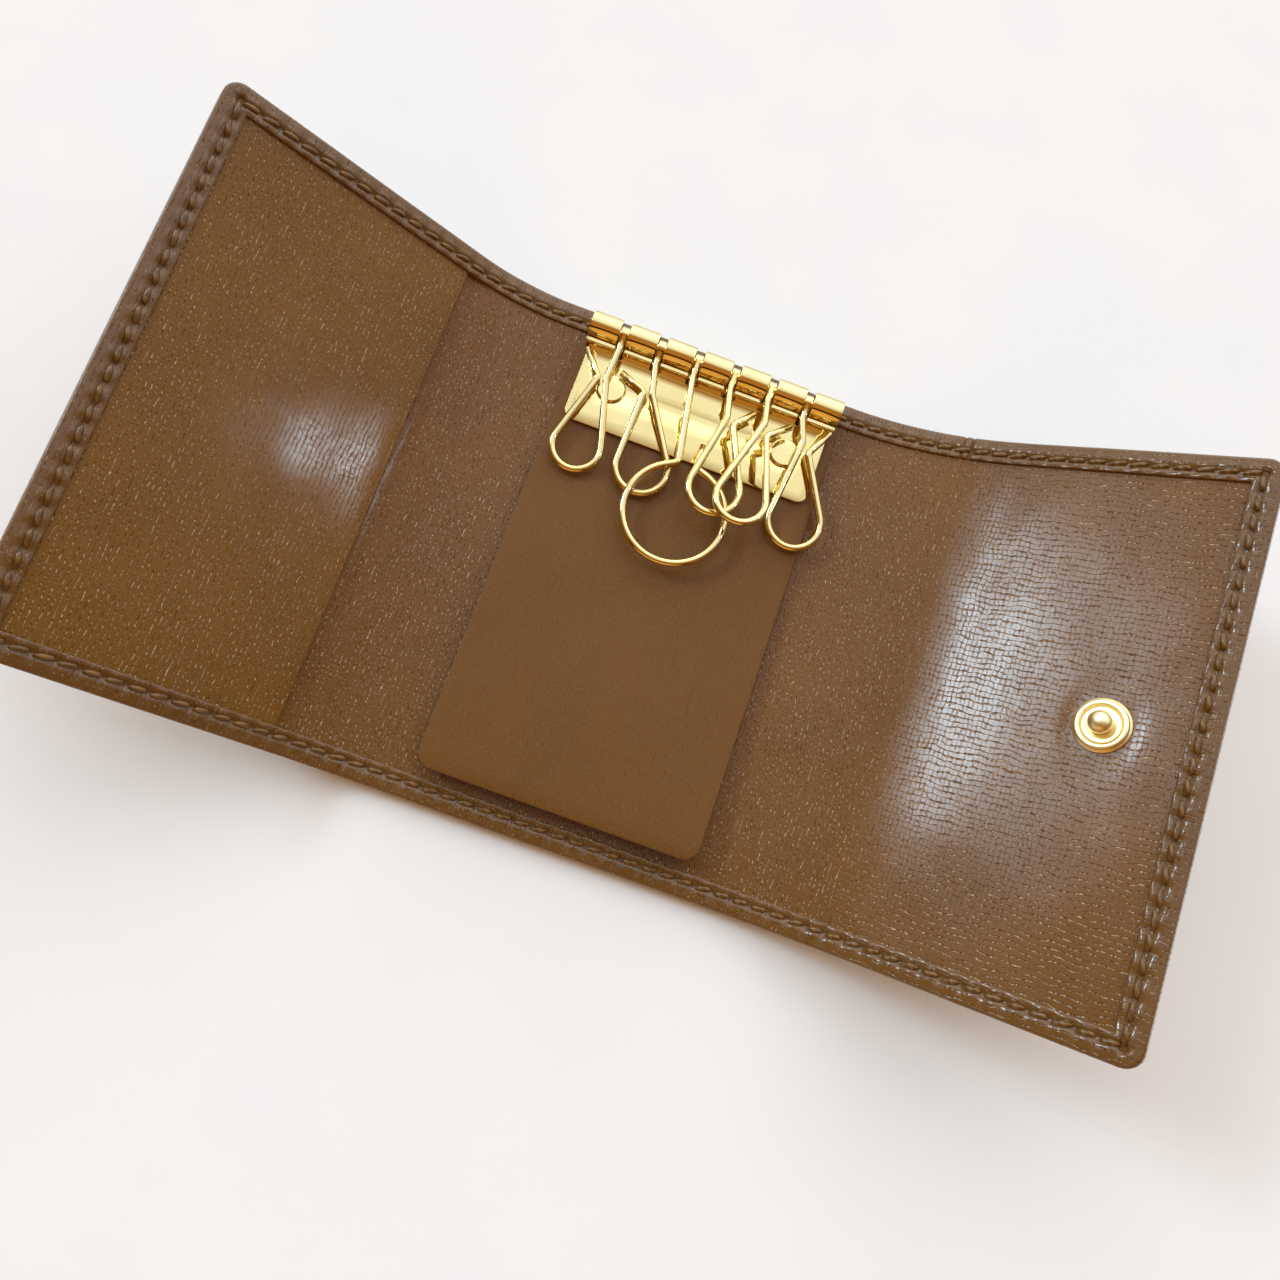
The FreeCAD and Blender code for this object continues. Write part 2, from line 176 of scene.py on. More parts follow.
def cutRows(bm, axis, start, stop, step):
    # parallel cuts square to an axis
    place = start
    while place < stop:
        cutAt(bm, Vector(axis) * place, axis)
        place += step


def closeEnds(bm):
    bmesh.ops.holes_fill(bm, edges=[edge for edge in bm.edges if edge.is_boundary])


def sliceBetween(bm, low, high):
    # keeps one length of the flat case and closes its cut ends
    if low > case["leftEdge"]:
        cutAt(bm, (low, 0, 0), xAxis, clear="inner")
    if high < case["rightEdge"]:
        cutAt(bm, (high, 0, 0), xAxis, clear="outer")
    closeEnds(bm)


def roundOff(bm, items, radius, steps, kind="EDGES", clamp=False):
    bmesh.ops.bevel(bm, geom=items, affect=kind, offset=radius, segments=steps, profile=0.5, material=-1,
                    clamp_overlap=clamp)


def levelRims(bm):
    # the sharp edges that run level
    rims = [edge for edge in bm.edges if edge.calc_face_angle(0) > sharpTurn]
    return [edge for edge in rims if abs(edge.verts[0].co.z - edge.verts[1].co.z) < near["level"]]


def ofType(items, kind):
    return [item for item in items if isinstance(item, kind)]


def plate(corners, roundCount, radius, level, thick):
    # a flat plate whose first corners are rounded, and its upper face
    bm = bmesh.new()
    verts = [bm.verts.new((x, y, level)) for x, y in corners]
    bm.faces.new(verts)
    roundOff(bm, verts[:roundCount], radius, case["cornerSteps"], kind="VERTICES")
    grown = bmesh.ops.extrude_face_region(bm, geom=bm.faces[:], use_keep_orig=True)["geom"]
    bmesh.ops.translate(bm, verts=ofType(grown, bmesh.types.BMVert), vec=(0, 0, thick))
    bmesh.ops.recalc_face_normals(bm, faces=bm.faces)
    return bm, ofType(grown, bmesh.types.BMFace)


def slab(low, high, half, bottom, top):
    # a plain box of leather between two places across the folds
    bm = bmesh.new()
    bmesh.ops.create_cube(bm, size=1)
    bmesh.ops.scale(bm, verts=bm.verts, vec=(high - low, 2 * half, top - bottom))
    bmesh.ops.translate(bm, verts=bm.verts, vec=((low + high) / 2, 0, (top + bottom) / 2))
    return bm


# unevenness of soft leather: a broad wave and a finer one, each from its own layer of the noise
unevenness = {"broadLayer": 3.7, "fineLayer": 9.1, "finer": 2.3, "fineShare": 0.5}


def soften(x, y, size, amount):
    finer = unevenness["finer"]
    broad = noise.noise(Vector((x / size, y / size, unevenness["broadLayer"])))
    fine = noise.noise(Vector((x / size * finer, y / size * finer, unevenness["fineLayer"])))
    return (broad + unevenness["fineShare"] * fine) * amount


def hexColour(text):
    # a colour as it is seen, turned to the linear values that shaders take
    def linear(value):
        return value / 12.92 if value <= 0.04045 else ((value + 0.055) / 1.055) ** 2.4
    return tuple(linear(int(text[start:start + 2], 16) / 255) for start in (1, 3, 5)) + (1.0,)


def addNode(tree, kind, settings=None, inputs=None, links=None, stops=()):
    # settings are the node's own, inputs are fixed socket values, links are sockets fed by others. A Mix
    # node's sockets go by number: 0 is the share, 2 and 3 are its numbers, 6 and 7 its colours
    node = tree.nodes.new(kind)
    for key, value in (settings or {}).items():
        setattr(node, key, value)
    for key, value in (inputs or {}).items():
        node.inputs[key].default_value = value
    for key, source in (links or {}).items():
        tree.links.new(source, node.inputs[key])
    for index, (place, colour) in enumerate(stops):
        element = node.color_ramp.elements[index] if index < 2 else node.color_ramp.elements.new(place)
        element.position = place
        element.color = hexColour(colour)
    return node


def newMaterial(name):
    material = bpy.data.materials.new(name)
    material.use_nodes = True
    tree = material.node_tree
    tree.nodes.clear()
    shader = addNode(tree, "ShaderNodeBsdfPrincipled")
    addNode(tree, "ShaderNodeOutputMaterial", links={0: shader.outputs[0]})
    return material, tree, shader


# boarded calf leather: short fine creases in rows under a glaze, their hollows painted darker as shade, and
# pale glints painted along them as highlights, so they are bright dashes on the brown and dark dashes where
# the sheen lies
def embossedLeather(name, look):
    material, tree, shader = newMaterial(name)
    uv = addNode(tree, "ShaderNodeUVMap", {"uv_map": "flat"}).outputs[0]
    cell = addNode(tree, "ShaderNodeMapping", inputs={"Scale": (1 / look["cellX"], 1 / look["cellY"], 1)},
                   links={"Vector": uv}).outputs[0]
    wander = addNode(tree, "ShaderNodeTexNoise", inputs={"Scale": 0.3, "Detail": 2.0},
                     links={"Vector": cell}).outputs["Color"]
    bent = addNode(tree, "ShaderNodeVectorMath", {"operation": "MULTIPLY_ADD"},
                   inputs={1: (look["wander"],) * 3}, links={0: wander, 2: cell}).outputs[0]
    fine = addNode(tree, "ShaderNodeTexNoise", inputs={"Scale": 1.6, "Detail": 3.0, "Roughness": 0.6},
                   links={"Vector": cell}).outputs["Fac"]
    patch = addNode(tree, "ShaderNodeTexNoise", inputs={"Scale": 0.05, "Detail": 3.0},
                    links={"Vector": cell}).outputs["Fac"]
    # the creases swell, thin out and break
    breaks = addNode(tree, "ShaderNodeTexNoise", inputs={"Scale": 1.1, "Detail": 1.0},
                     links={"Vector": bent}).outputs["Fac"]
    width = addNode(tree, "ShaderNodeMapRange",
                    inputs={"From Min": 0.4, "From Max": 0.6, "To Min": 0.02, "To Max": look["lineWidth"]},
                    links={"Value": breaks}).outputs[0]
    creases = {}
    for direction, detailScale in (("X", 0.7), ("Y", 0.8)):
        wave = addNode(tree, "ShaderNodeTexWave", {"wave_type": "BANDS", "bands_direction": direction},
                       inputs={"Scale": 0.41, "Distortion": 3.4, "Detail": 2.0, "Detail Scale": detailScale},
                       links={"Vector": bent}).outputs["Fac"]
        creases[direction] = addNode(tree, "ShaderNodeMapRange", {"interpolation_type": "SMOOTHSTEP"},
                                     links={"Value": wave, "From Max": width}).outputs[0]
    # they run across the snap wing, and along the folds everywhere else
    across = addNode(tree, "ShaderNodeSeparateXYZ", links={0: uv}).outputs["X"]
    rowShare = addNode(tree, "ShaderNodeMapRange",
                       inputs={"From Min": look["rowsFrom"], "From Max": look["rowsTo"], "To Max": 0.6},
                       links={"Value": across}).outputs[0]
    crossing = addNode(tree, "ShaderNodeMath", {"operation": "MULTIPLY_ADD"}, inputs={1: 0.4},
                       links={0: patch, 2: rowShare}).outputs[0]
    lines = addNode(tree, "ShaderNodeMix", {"data_type": "FLOAT"},
                    links={0: crossing, 2: creases["X"], 3: creases["Y"]}).outputs[0]
    height = addNode(tree, "ShaderNodeMath", {"operation": "MULTIPLY_ADD"}, inputs={1: look["fineShare"]},
                     links={0: fine, 2: lines}).outputs[0]
    bump = addNode(tree, "ShaderNodeBump", inputs={"Strength": 1.0, "Distance": look["depth"]},
                   links={"Height": height}).outputs[0]
    tone = addNode(tree, "ShaderNodeValToRGB", links={"Fac": patch},
                   stops=[(0.3, look["dark"]), (0.72, look["light"])]).outputs[0]
    # painted shade: the crease hollows are darkened by multiplying in the crease shade colour
    creaseShade = addNode(tree, "ShaderNodeValToRGB", links={"Fac": lines},
                     stops=[(0.0, look["creaseShade"]), (0.8, "#FFFFFF")]).outputs[0]
    tone = addNode(tree, "ShaderNodeMix", {"data_type": "RGBA", "blend_type": "MULTIPLY"}, inputs={0: 1.0},
                   links={6: tone, 7: creaseShade}).outputs[2]
    # painted highlight: short lengths of the creases get a pale glint colour, standing in for glints off
    # their edges
    spots = addNode(tree, "ShaderNodeTexNoise", inputs={"Scale": 2.7, "Detail": 1.0},
                    links={"Vector": cell}).outputs["Fac"]
    glintSpots = addNode(tree, "ShaderNodeMapRange",
                   inputs={"From Min": 0.44, "From Max": 0.68, "To Max": look["paintedGlint"]},
                   links={"Value": spots}).outputs[0]
    paintedGlint = addNode(tree, "ShaderNodeMapRange", inputs={"From Min": 0.1, "From Max": 0.75, "To Max": 0.0},
                     links={"Value": lines, "To Min": glintSpots}).outputs[0]
    colour = addNode(tree, "ShaderNodeMix", {"data_type": "RGBA"}, inputs={7: hexColour(look["glintColour"])},
                     links={0: paintedGlint, 6: tone}).outputs[2]
    rough = addNode(tree, "ShaderNodeMapRange",
                    inputs={"From Min": 0.3, "From Max": 0.7, "To Min": look["rough"] - 0.06,
                            "To Max": look["rough"] + 0.08},
                    links={"Value": fine}).outputs[0]
    glaze = addNode(tree, "ShaderNodeMapRange",
                    inputs={"From Min": 0.1, "From Max": 0.9, "To Min": look["coat"] * 0.15,
                            "To Max": look["coat"]},
                    links={"Value": lines}).outputs[0]
    tree.links.new(colour, shader.inputs["Base Color"])
    tree.links.new(rough, shader.inputs["Roughness"])
    tree.links.new(bump, shader.inputs["Normal"])
    tree.links.new(bump, shader.inputs["Coat Normal"])
    tree.links.new(glaze, shader.inputs["Coat Weight"])
    shader.inputs["Specular IOR Level"].default_value = look["sheen"]
    shader.inputs["Coat Roughness"].default_value = look["coatRough"]
    return material


liningLook = {
    "cellX": 1.08 * mm, "cellY": 1.35 * mm, "rowsFrom": 50 * mm, "rowsTo": 64 * mm, "wander": 1.0,
    "lineWidth": 0.28, "fineShare": 0.1, "depth": 0.1 * mm,
    # painted shade and highlight: the crease colour darkens the crease hollows as shade; the glint colour, at
    # the share after it, is painted along them as glints
    "dark": "#6E491D", "light": "#7A5224", "creaseShade": "#C4BBB0", "glintColour": "#DCCBAE", "paintedGlint": 0.85,
    "rough": 0.5, "sheen": 0.06, "coat": 0.52, "coatRough": 0.14,
}
pocketLook = dict(liningLook, dark="#765018", light="#82591F", coatRough=0.1)
outerLook = dict(liningLook, dark="#66421B", light="#734C21", paintedGlint=0.6)
bandLook = dict(liningLook, fineShare=0.9, depth=0.035 * mm, dark="#67461F", light="#735026", paintedGlint=0.4,
                coat=1.0, coatRough=0.16)
tongueLook = dict(liningLook, lineWidth=0.06, fineShare=0.4, depth=0.02 * mm, dark="#6E4A20", light="#755025",
                  paintedGlint=0.25, coat=0.25, coatRough=0.3)
liningLeather = embossedLeather("glazed embossed calf, inside", liningLook)
pocketLeather = embossedLeather("polished embossed calf, pocket", pocketLook)
outerLeather = embossedLeather("glazed embossed calf, outside", outerLook)
bandLeather = embossedLeather("smooth turned calf border", bandLook)
tongueLeather = embossedLeather("glazed calf tongue", tongueLook)


# polished brass under pale gold plating: a mirror, with a little haze and hairline wear
def paleGold(name, look):
    material, tree, shader = newMaterial(name)
    place = addNode(tree, "ShaderNodeTexCoord").outputs["Object"]
    haze = addNode(tree, "ShaderNodeTexNoise", inputs={"Scale": 1 / look["hazeSize"], "Detail": 4.0},
                   links={"Vector": place}).outputs["Fac"]
    drawn = addNode(tree, "ShaderNodeMapping", inputs={"Scale": (1, 0.08, 1)},
                    links={"Vector": place}).outputs[0]
    lines = addNode(tree, "ShaderNodeTexNoise", inputs={"Scale": 1 / look["lineSize"], "Detail": 2.0},
                    links={"Vector": drawn}).outputs["Fac"]
    tone = addNode(tree, "ShaderNodeValToRGB", links={"Fac": haze},
                   stops=[(0.3, look["deep"]), (0.7, look["pale"])]).outputs[0]
    rough = addNode(tree, "ShaderNodeMapRange",
                    inputs={"From Min": 0.3, "From Max": 0.75, "To Min": look["rough"],
                            "To Max": look["rough"] + 0.04},
                    links={"Value": haze}).outputs[0]
    warp = addNode(tree, "ShaderNodeBump", inputs={"Strength": 1.0, "Distance": look["warp"]},
                   links={"Height": haze}).outputs[0]
    bump = addNode(tree, "ShaderNodeBump", inputs={"Strength": look["bump"], "Distance": 0.01 * mm},
                   links={"Height": lines, "Normal": warp}).outputs[0]
    tree.links.new(tone, shader.inputs["Base Color"])
    tree.links.new(rough, shader.inputs["Roughness"])
    tree.links.new(bump, shader.inputs["Normal"])
    shader.inputs["Metallic"].default_value = 1.0
    return material


plateGold = paleGold("mirror polished pale gold", {
    "hazeSize": 14 * mm, "lineSize": 0.8 * mm, "deep": "#E2CC8A", "pale": "#ECDA9E",
    "rough": 0.03, "bump": 0.03, "warp": 0.05 * mm})
wireGold = paleGold("drawn wire, pale gold", {
    "hazeSize": 8 * mm, "lineSize": 0.6 * mm, "deep": "#E4CE90", "pale": "#EEDCA4",
    "rough": 0.06, "bump": 0.05, "warp": 0.01 * mm})
snapGold = paleGold("pressed brass, pale gold", {
    "hazeSize": 6 * mm, "lineSize": 0.6 * mm, "deep": "#FCEBB0", "pale": "#FFF2C4",
    "rough": 0.38, "bump": 0.06, "warp": 0.01 * mm})


# waxed polyester thread: a tight twist, so fine slanted ridges
def waxedThread():
    material, tree, shader = newMaterial("waxed brown thread")
    place = addNode(tree, "ShaderNodeTexCoord").outputs["Object"]
    twist = addNode(tree, "ShaderNodeTexWave", {"wave_type": "BANDS", "bands_direction": "DIAGONAL"},
                    inputs={"Scale": 314.0, "Distortion": 1.5}, links={"Vector": place}).outputs["Fac"]
    tone = addNode(tree, "ShaderNodeValToRGB", links={"Fac": twist},
                   stops=[(0.1, "#5E4019"), (0.9, "#785426")]).outputs[0]
    bump = addNode(tree, "ShaderNodeBump", inputs={"Strength": 0.6, "Distance": 0.08 * mm},
                   links={"Height": twist}).outputs[0]
    tree.links.new(tone, shader.inputs["Base Color"])
    tree.links.new(bump, shader.inputs["Normal"])
    shader.inputs["Roughness"].default_value = 0.28
    shader.inputs["Specular IOR Level"].default_value = 0.5
    return material


# plain materials: two close tones of one fine grain, which stands out where the look has a bump
def grained(name, look):
    material, tree, shader = newMaterial(name)
    place = addNode(tree, "ShaderNodeTexCoord").outputs["Object"]
    grain = addNode(tree, "ShaderNodeTexNoise", inputs={"Scale": 1 / look["grain"], "Detail": look["detail"]},
                    links={"Vector": place}).outputs["Fac"]
    tone = addNode(tree, "ShaderNodeValToRGB", links={"Fac": grain},
                   stops=[(0.3, look["deep"]), (0.7, look["pale"])]).outputs[0]
    tree.links.new(tone, shader.inputs["Base Color"])
    if "bump" in look:
        bump = addNode(tree, "ShaderNodeBump", inputs={"Strength": look["bump"], "Distance": 0.05 * mm},
                       links={"Height": grain}).outputs[0]
        tree.links.new(bump, shader.inputs["Normal"])
    shader.inputs["Metallic"].default_value = look["metal"]
    shader.inputs["Roughness"].default_value = look["rough"]
    return material


threadMaterial = waxedThread()
# brown dye and wax rubbed into the raw edge: dark, with a dull shine
edgeMaterial = grained("burnished edge paint", {
    "grain": 0.9 * mm, "detail": 5.0, "deep": "#3F2A18", "pale": "#5B3F26", "metal": 0.0, "rough": 0.4,
    "bump": 0.3})
# plain wire inside the fittings: grey and fairly bright
steelMaterial = grained("drawn steel wire", {
    "grain": 0.6 * mm, "detail": 3.0, "deep": "#A7A195", "pale": "#C4BEB0", "metal": 1.0, "rough": 0.25})
# stiffener: mottled grey fibre without shine
boardMaterial = grained("pressed fibre board", {
    "grain": 1.5 * mm, "detail": 6.0, "deep": "#857B6A", "pale": "#A2977F", "metal": 0.0, "rough": 0.85})
# floor: even and white, without shine
floorMaterial = grained("matt white paper", {
    "grain": 25 * mm, "detail": 3.0, "deep": "#F7FBFF", "pale": "#FAFDFF", "metal": 0.0, "rough": 0.8})
print("materials ready")


# stitching: plump stitches all round the band, the leather pulled down at the holes and puffed up beside
# them; places along and aside are in mm
stitch = {
    "inset": 3.0, "pitch": 3.45, "length": 3.1, "thick": 0.52, "tall": 1.7, "lean": 9.0,
    "leanSpread": 4, "lengthSpread": (0.94, 1.04), "segments": (8, 6), "proud": 0.08, "backLevel": 0.3,
    "groove": 0.12, "grooveWidth": 0.55, "hole": 0.45, "holeSharp": 3, "reach": 2.4, "overrun": 1.0,
    "puff": 0.24, "puffAside": 0.95, "puffWidth": 0.42, "puffSharp": 1.5,
    "pleats": (50.4, 51.9), "pleatDepth": 0.42, "pleatWidth": 0.25,
}


def stitchLine():
    # straight runs of the sewing line: start, direction and length, all inside the corners
    left = case["leftEdge"] + stitch["inset"]
    right = case["rightEdge"] - stitch["inset"]
    top = case["halfHeight"] - stitch["inset"]
    return [
        (Vector((left, top, 0)), Vector(xAxis), right - left),
        (Vector((left, -top, 0)), Vector(xAxis), right - left),
        (Vector((left, -top, 0)), Vector(yAxis), 2 * top),
        (Vector((right, -top, 0)), Vector(yAxis), 2 * top),
    ]


def swell(offset, width):
    # a smooth rise to one at no offset
    return math.exp(-(offset / width) ** 2)


def bandDip(x, y):
    # how far the sewn leather is drawn down: a groove under the thread and pits at the holes, less the puffs
    # beside it
    dip = 0.0
    for start, way, length in stitchLine():
        along = (x - start.x) * way.x + (y - start.y) * way.y
        aside = abs((x - start.x) * way.y - (y - start.y) * way.x)
        if -stitch["overrun"] < along < length + stitch["overrun"] and aside < stitch["reach"]:
            count = round(length / stitch["pitch"])
            hole = 0.5 + 0.5 * math.cos(2 * math.pi * along * count / length)
            groove = stitch["groove"] + stitch["hole"] * hole ** stitch["holeSharp"]
            puff = swell(aside - stitch["puffAside"], stitch["puffWidth"]) * (1 - hole) ** stitch["puffSharp"]
            dip += groove * swell(aside, stitch["grooveWidth"]) - stitch["puff"] * puff
    # two creases where the top border bends at the wide spine
    if y > case["halfHeight"] - case["band"]:
        for place in stitch["pleats"]:
            dip += stitch["pleatDepth"] * swell(x - place, stitch["pleatWidth"])
    return dip


# the soft spines: there is no board there, and the leather is thinner
spine = {"spans": ((-48.0, -33.0), (33.0, 50.0)), "run": 4, "lift": 0.6}


def spineLift(x):
    shares = [smoothStep((high - x) / spine["run"]) * smoothStep((x - low) / spine["run"])
              for low, high in spine["spans"]]
    return spine["lift"] * sum(shares)


# cover: one sheet of outer leather, its border turned over on the inside
cover = {
    "sunk": 1.7, "rim": 4.1, "rimSteps": 4, "lipLevel": 2.7, "lipRound": 0.16, "lipSteps": 2,
    "rows": (-1.6, -1.25, -0.95, -0.6, -0.3, 0.0, 0.3, 0.6, 0.95, 1.25), "cutsPerStitch": 6,
    "cutStart": 5, "cutStop": 4.9, "sideWidth": 5.1, "pleatRows": (-0.5, -0.25, 0.0, 0.25, 0.5),
    "longCuts": (-40, 41, 8), "lowerLevel": 1.0, "backLevel": 1.1,
    "topWave": (14, 0.05), "backWave": (18, 0.05),
}


def wholeCover():
    low, high, half, band = case["leftEdge"], case["rightEdge"], case["halfHeight"], case["band"]
    corners = ((low, -half), (high, -half), (high, half), (low, half))
    bm, topFace = plate(corners, len(corners), case["corner"], 0, case["top"])
    bmesh.ops.inset_region(bm, faces=topFace, thickness=band, use_even_offset=True)
    inner = topFace[0]
    # the border's inner corners are square
    for vert in inner.verts:
        vert.co.x = min(max(vert.co.x, low + band), high - band)
        vert.co.y = min(max(vert.co.y, band - half), half - band)
    sunk = bmesh.ops.extrude_face_region(bm, geom=[inner])["geom"]
    bmesh.ops.translate(bm, verts=ofType(sunk, bmesh.types.BMVert), vec=(0, 0, -cover["sunk"]))
    if inner.is_valid:
        bmesh.ops.delete(bm, geom=[inner], context="FACES_ONLY")
    bmesh.ops.remove_doubles(bm, verts=bm.verts, dist=near["join"])
    bmesh.ops.recalc_face_normals(bm, faces=bm.faces)
    rims = []
    lips = []
    for edge in levelRims(bm):
        middle = (edge.verts[0].co + edge.verts[1].co) / 2
        fromEdge = min(half - abs(middle.y), middle.x - low, high - middle.x)
        if fromEdge < cover["rim"]:
            rims.append(edge)
        elif middle.z > cover["lipLevel"]:
            lips.append(edge)
    roundOff(bm, rims, case["edgeRound"], cover["rimSteps"])
    lips = [edge for edge in lips if edge.is_valid]
    roundOff(bm, lips, cover["lipRound"], cover["lipSteps"])
    return bm


def refineBand(bm):
    # rows beside the stitch line and slices along it, so the sewing can shape the border
    low, high, half = case["leftEdge"], case["rightEdge"], case["halfHeight"]
    step = stitch["pitch"] / cover["cutsPerStitch"]
    for aside in cover["rows"]:
        row = stitch["inset"] + aside
        cutAt(bm, (0, half - row, 0), yAxis)
        cutAt(bm, (0, row - half, 0), yAxis)
        cutAt(bm, (low + row, 0, 0), xAxis)
        cutAt(bm, (high - row, 0, 0), xAxis)
    cutRows(bm, xAxis, low + cover["cutStart"], high - cover["cutStop"], step)
    for place in stitch["pleats"]:
        for aside in cover["pleatRows"]:
            cutAt(bm, (place + aside, 0, 0), xAxis)
    innerLow = low + cover["sideWidth"]
    innerHigh = high - cover["sideWidth"]
    y = -half + cover["cutStart"]
    while y < half - cover["cutStop"]:
        sides = [face for face in bm.faces if not innerLow < face.calc_center_median().x < innerHigh]
        cutAt(bm, (0, y, 0), yAxis, faces=sides)
        y += step
    # a few long cuts, so the outer face can be uneven
    cutRows(bm, yAxis, *cover["longCuts"])


def shapeCover(bm):
    bm.normal_update()
    for vert in bm.verts:
        x, y, z = vert.co
        if z > case["upperLevel"]:
            vert.co.z += soften(x, y, *cover["topWave"]) - bandDip(x, y)
        elif z < cover["lowerLevel"]:
            wave = max(soften(x, y, *cover["backWave"]), -z)
            vert.co.z += spineLift(x) + wave + max(bandDip(x, y), 0)


coverSheet = wholeCover()
refineBand(coverSheet)
shapeCover(coverSheet)
for part in lengths:
    bm = coverSheet.copy()
    sliceBetween(bm, part["low"], part["high"])
    for face in bm.faces:
        face.material_index = 0 if face.calc_center_median().z > cover["backLevel"] else 1
    foldUp(bm)
    piece = newPiece("leather_cover_" + part["name"], bm, [bandLeather, outerLeather], smooth=50)
    bendPiece(piece)
    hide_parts(*[panel + "_cover" for panel in part["panels"]])
coverSheet.free()
print("cover leather done")


# lining: thin embossed leather glued inside the border, lower under the pocket, and pressed in round the stud
lining = {
    "low": 1.62, "inset": 1.3, "cutX": 2, "stepX": 0.9, "cutY": 1.5, "stepY": 2.4, "wave": (16, 0.09),
    "margin": 4.0, "marginRun": 5, "dent": 0.14, "dentRing": 5.0, "dentWidth": 1.1,
    "pocketDrop": 0.55, "dropFrom": -44.5, "dropRun": 6,
}


def wholeLining():
    low = case["leftEdge"] + lining["inset"]
    high = case["rightEdge"] - lining["inset"]
    half = case["halfHeight"] - lining["inset"]
    bm = slab(low, high, half, lining["low"], case["liningTop"])
    cutRows(bm, xAxis, low + lining["cutX"], high, lining["stepX"])
    cutRows(bm, yAxis, -half + lining["cutY"], half, lining["stepY"])
    middle = Vector((case["studX"], 0))
    for vert in bm.verts:
        x, y, z = vert.co
        if z > case["upperLevel"]:
            inside = smoothStep((case["halfHeight"] - lining["margin"] - abs(y)) / lining["marginRun"])
            ring = (Vector((x, y)) - middle).length
            vert.co.z += soften(x, y, *lining["wave"]) * inside
            vert.co.z -= lining["dent"] * swell(ring - lining["dentRing"], lining["dentWidth"])
        vert.co.z -= lining["pocketDrop"] * smoothStep((lining["dropFrom"] - x) / lining["dropRun"])
    return bm


liningSheet = wholeLining()
for part in lengths:
    bm = liningSheet.copy()
    sliceBetween(bm, part["low"], part["high"])
    foldUp(bm)
    piece = newPiece("lining_" + part["name"], bm, [liningLeather])
    bendPiece(piece)
    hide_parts(*[panel + "_lining" for panel in part["panels"]])
liningSheet.free()
print("lining done")


# slip pocket: a panel under the border on three sides, free toward the fold, where it gapes a little
pocket = {
    "free": -51.2, "low": 1.7, "inset": 1.3, "edge": 0.18, "edgeSteps": 3, "edgeReach": 0.1,
    "cut": 1.5, "stepX": 2.0, "cutStop": 0.6, "stepY": 2.4, "wave": (16, 0.08),
    "margin": 4.0, "marginRun": 6, "gape": 0.25, "gapeRun": 14,
}


def slipPocket():
    low = case["leftEdge"] + pocket["inset"]
    half = case["halfHeight"] - pocket["inset"]
    bm = slab(low, pocket["free"], half, pocket["low"], case["liningTop"])
    lip = []
    for edge in bm.edges:
        first, second = edge.verts[0].co, edge.verts[1].co
        if min(first.x, second.x) > pocket["free"] - pocket["edgeReach"] and first.z == second.z:
            lip.append(edge)
    roundOff(bm, lip, pocket["edge"], pocket["edgeSteps"])
    cutRows(bm, xAxis, low + pocket["cut"], pocket["free"] - pocket["cutStop"], pocket["stepX"])
    cutRows(bm, yAxis, -half + pocket["cut"], half, pocket["stepY"])
    for vert in bm.verts:
        x, y = vert.co.xy
        inside = smoothStep((case["halfHeight"] - pocket["margin"] - abs(y)) / pocket["marginRun"])
        reach = smoothStep((x - pocket["free"] + pocket["gapeRun"]) / pocket["gapeRun"])
        vert.co.z += (soften(x, y, *pocket["wave"]) + pocket["gape"] * reach) * inside
    foldUp(bm)
    return newPiece("pocket_leather", bm, [pocketLeather])


piece = slipPocket()
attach(piece, "left_wing")
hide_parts("pocket_panel")
print("pocket done")


# thread: short fat stitches that dive into their holes
def oneStitch(bm, middle, way):
    around, along = stitch["segments"]
    made = bmesh.ops.create_uvsphere(bm, u_segments=around, v_segments=along, radius=0.5)
    lean = math.radians(stitch["lean"] + random.uniform(-stitch["leanSpread"], stitch["leanSpread"]))
    turn = Matrix.Rotation(math.atan2(way.y, way.x) + lean, 4, "Z")
    length = stitch["length"] * random.uniform(*stitch["lengthSpread"])
    stretch = Matrix.Diagonal((length, stitch["thick"] * 2, stitch["thick"] * stitch["tall"], 1))
    bmesh.ops.transform(bm, matrix=Matrix.Translation(middle) @ turn @ stretch, verts=made["verts"])


def stitchPiece(name, low, high):
    # each stitch shows on the inside and again on the outside
    bm = bmesh.new()
    level = case["top"] - stitch["groove"] + stitch["proud"]
    for start, way, run in stitchLine():
        count = round(run / stitch["pitch"])
        for index in range(count):
            middle = start + way * (run * (index + 0.5) / count)
            if low <= middle.x < high:
                backLevel = spineLift(middle.x) + stitch["backLevel"]
                oneStitch(bm, Vector((middle.x, middle.y, level)), way)
                oneStitch(bm, Vector((middle.x, middle.y, backLevel)), way)
    foldUp(bm)
    return newPiece(name, bm, [threadMaterial], smooth=80)


for part in lengths:
    piece = stitchPiece("stitches_" + part["name"], part["low"], part["high"])
    bendPiece(piece)
print("stitching done")


# tongue: a strip of leather clamped under the hook plate, its free end curling up, more so at the right
tongue = {
    "half": 26.5, "top": 43.3, "low": -43.5, "thick": 1.25, "corner": 3.0, "rim": 0.3, "rimSteps": 3,
    "cutX": 2, "stepX": 3.1, "cutY": 3.2, "stepY": 1.6, "faceUp": 0.6, "wave": (22, 0.12),
    "bend": 27.0, "from": 29.0, "to": 21.0, "angle": 2.0, "twist": 0.6, "twistRun": 70, "blendLevel": 3,
}


